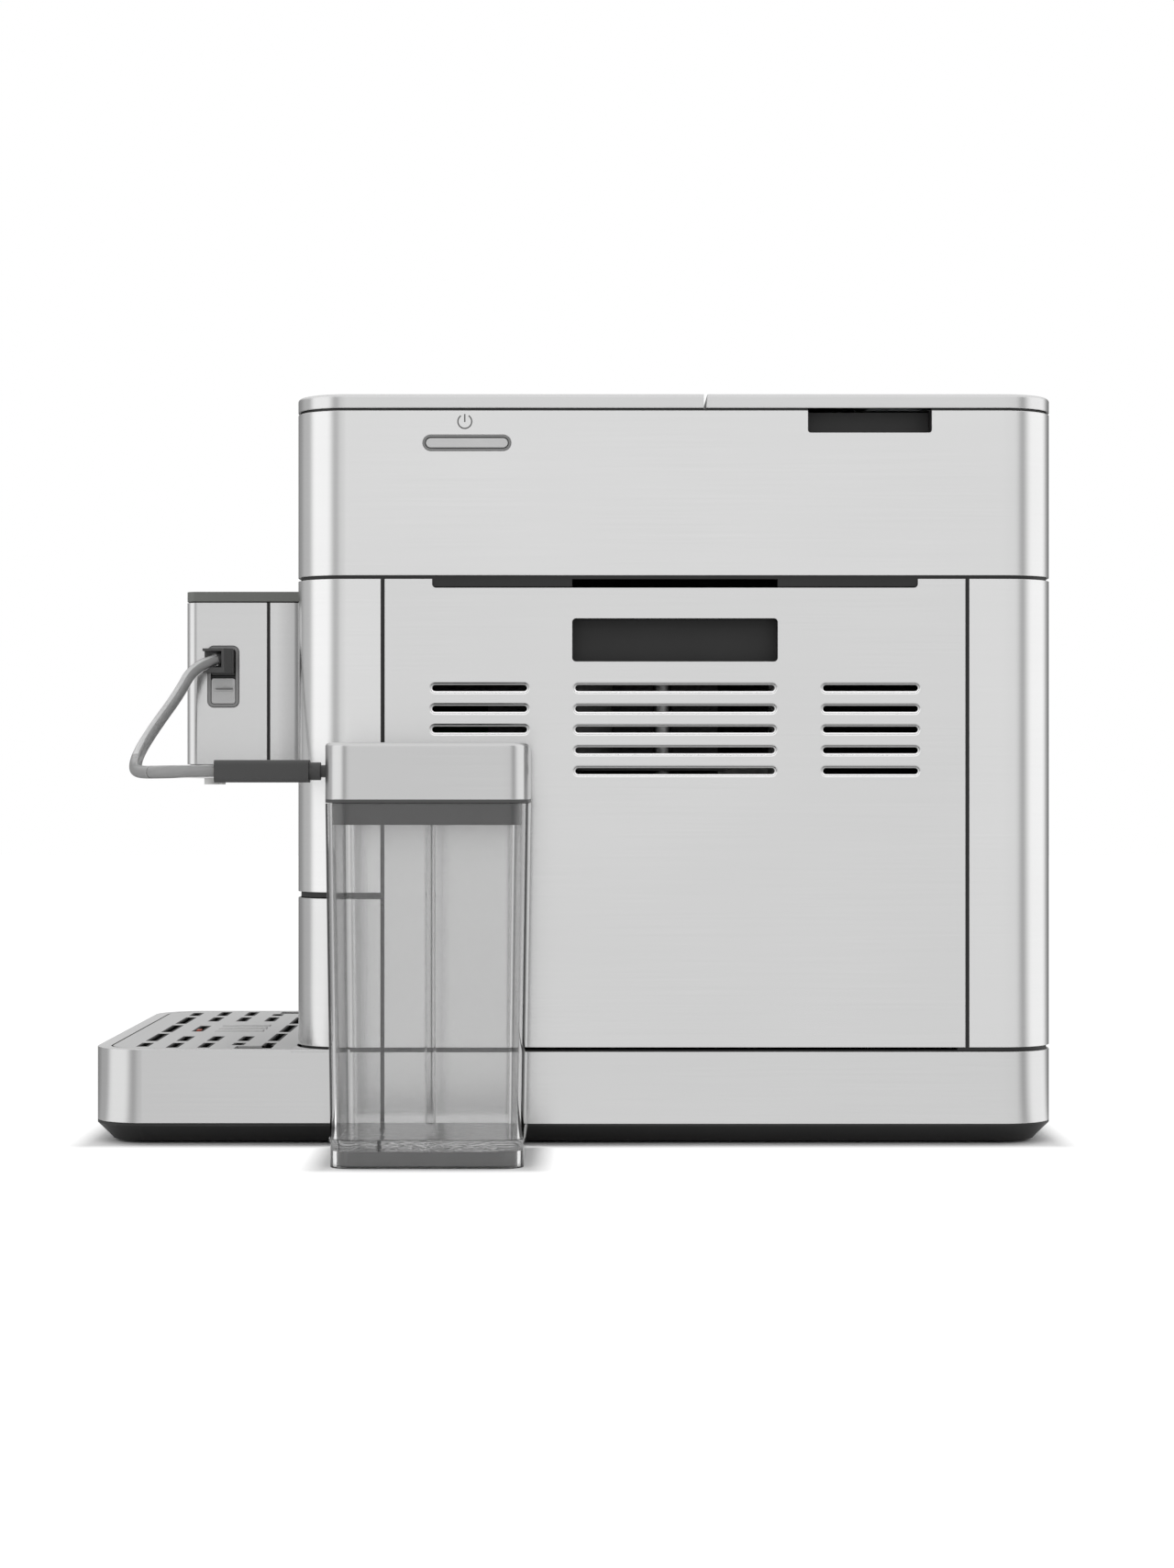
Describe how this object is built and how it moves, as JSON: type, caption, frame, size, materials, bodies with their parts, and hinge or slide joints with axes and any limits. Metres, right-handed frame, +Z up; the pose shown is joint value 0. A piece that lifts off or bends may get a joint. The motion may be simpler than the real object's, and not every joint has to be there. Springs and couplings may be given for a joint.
{
  "type": "bean to cup coffee machine",
  "caption": "Bean-to-cup coffee machine with height-adjustable spout head, drip tray drawer, service door, lids over hopper and water tank, and a milk container joined by a hose.",
  "frame": {"origin": "on the worktop, at the middle of the machine's footprint", "axes": "+Z up; -Y towards the front, where the spouts and the drip tray are; +X towards the side with the service door and the milk container"},
  "size_m": [0.3585, 0.5046, 0.391],
  "materials": {
    "steel_skin": "fine brushed satin",
    "steel_machined": "machined",
    "black_moulding": "fine texture",
    "dark_moulding": "satin",
    "grey_moulding": "satin",
    "light_moulding": "gloss",
    "cap_moulding": "satin",
    "display": "polished black",
    "clear_moulding": "clear",
    "tinted_moulding": "tinted clear",
    "float_red": "gloss",
    "foot_rubber": "matte",
    "hose_rubber": "clear satin",
    "water_hose": "satin",
    "cast_alloy": "as cast",
    "motor_case": "satin",
    "brass_parts": "turned",
    "board": "satin",
    "screw_steel": "plated"
  },
  "bodies": {
    "machine": {"base_pan": "black_moulding", "base_feet": "foot_rubber", "base_skirt": "steel_skin", "inner_frame": "black_moulding", "front_panel": "steel_skin", "left_panel": "steel_skin", "rear_panel": "steel_skin", "upper_band": "steel_skin", "power_bezel": "dark_moulding", "display_glass": "display", "top_deck": "black_moulding", "tank_cradle": "black_moulding", "water_pump": "motor_case", "flow_meter": "light_moulding", "thermoblock": "cast_alloy", "water_hoses": "water_hose", "brew_frame": "dark_moulding", "brew_chamber": "grey_moulding", "brew_motor": "motor_case", "grinder_housing": "dark_moulding", "upper_burr": "steel_machined", "grinder_motor": "motor_case", "control_board": "board", "mains_inlet": "dark_moulding", "panel_screws": "screw_steel", "head_rail": "black_moulding", "milk_jar": "clear_moulding"},
    "hopper": {"bean_hopper": "tinted_moulding"},
    "front_lid": {"front_lid": "steel_skin"},
    "tank": {"water_tank": "clear_moulding"},
    "rear_lid": {"rear_lid": "steel_skin"},
    "power_button": {"power_button": "grey_moulding"},
    "service_door": {"service_door": "steel_skin", "door_liner": "black_moulding"},
    "burr": {"lower_burr": "steel_machined", "burr_gear": "light_moulding"},
    "pinion": {"motor_pinion": "brass_parts"},
    "piston": {"lower_piston": "grey_moulding"},
    "screw": {"drive_screw": "steel_machined"},
    "head": {"head_shell": "steel_skin", "head_body": "black_moulding", "head_back": "cast_alloy", "head_cap": "cap_moulding", "coffee_spouts": "light_moulding", "milk_port": "grey_moulding", "milk_connector": "dark_moulding", "milk_hose_upper": "hose_rubber"},
    "release_tab": {"release_tab": "light_moulding"},
    "drawer": {"tray_skirt": "steel_skin", "drip_tub": "black_moulding", "drawer_body": "black_moulding", "drawer_front": "steel_skin", "grounds_container": "black_moulding"},
    "drip_grid": {"drip_grid": "steel_skin"},
    "float": {"float": "float_red"},
    "milk_lid": {"milk_lid_base": "dark_moulding", "milk_lid_cover": "steel_skin", "pickup_tube": "clear_moulding"},
    "hose_plug": {"hose_plug": "grey_moulding", "milk_hose_lower": "hose_rubber"}
  },
  "joints": [
    {"name": "hopper_lift", "type": "slide", "parent": "machine", "child": "hopper", "axis": [0, 0, 1], "range_m": [0, 0.09]},
    {"name": "front_lid_lift", "type": "slide", "parent": "hopper", "child": "front_lid", "axis": [0, 0, 1], "range_m": [0, 0.06]},
    {"name": "tank_lift", "type": "slide", "parent": "machine", "child": "tank", "axis": [0, 0, 1], "range_m": [0, 0.14]},
    {"name": "rear_lid_lift", "type": "slide", "parent": "tank", "child": "rear_lid", "axis": [0, 0, 1], "range_m": [0, 0.06]},
    {"name": "power_press", "type": "slide", "parent": "machine", "child": "power_button", "axis": [-1, 0, 0], "range_m": [0, 0.0012], "stiffness_N_per_m": 1000, "springref_m": -0.0008},
    {"name": "door_tilt", "type": "hinge", "parent": "machine", "child": "service_door", "pos_m": [0.1245, 0.053, 0.0545], "axis": [0, 1, 0], "range_deg": [0, 3.2]},
    {"name": "burr_spin", "type": "hinge", "parent": "machine", "child": "burr", "pos_m": [-0.061, -0.045, 0.25], "axis": [0, 0, 1], "continuous": true},
    {"name": "pinion_spin", "type": "hinge", "parent": "machine", "child": "pinion", "pos_m": [-0.061, -0.01368, 0.25], "axis": [0, 0, 1], "continuous": true},
    {"name": "piston_lift", "type": "slide", "parent": "machine", "child": "piston", "axis": [0, 0, 1], "range_m": [0, 0.034]},
    {"name": "screw_spin", "type": "hinge", "parent": "machine", "child": "screw", "pos_m": [0.069, 0.048, 0.2], "axis": [0, 0, 1], "range_deg": [0, 1025]},
    {"name": "head_slide", "type": "slide", "parent": "machine", "child": "head", "axis": [0, 0, 1], "range_m": [-0.055, 0], "deforming": ["milk_hose_upper"]},
    {"name": "release_tab_press", "type": "slide", "parent": "head", "child": "release_tab", "axis": [-1, 0, 0], "range_m": [0, 0.0015], "stiffness_N_per_m": 1000, "springref_m": -0.001},
    {"name": "drawer_slide", "type": "slide", "parent": "machine", "child": "drawer", "axis": [0, -1, 0], "range_m": [0, 0.17]},
    {"name": "grid_lift", "type": "slide", "parent": "drawer", "child": "drip_grid", "axis": [0, 0, 1], "range_m": [0, 0.03]},
    {"name": "float_rise", "type": "slide", "parent": "drawer", "child": "float", "axis": [0, 0, 1], "range_m": [0, 0.006]},
    {"name": "milk_lid_lift", "type": "slide", "parent": "machine", "child": "milk_lid", "axis": [0, 0, 1], "range_m": [0, 0.04], "deforming": ["milk_hose_lower"]},
    {"name": "hose_plug_pull", "type": "slide", "parent": "milk_lid", "child": "hose_plug", "axis": [0, -1, 0], "range_m": [0, 0.012], "deforming": ["milk_hose_lower"]}
  ],
  "couplings": [
    {"joint": "pinion_spin", "follows": "burr_spin", "ratio": -3.3333},
    {"joint": "screw_spin", "follows": "piston_lift", "rad_per_m": 523.6}
  ]
}
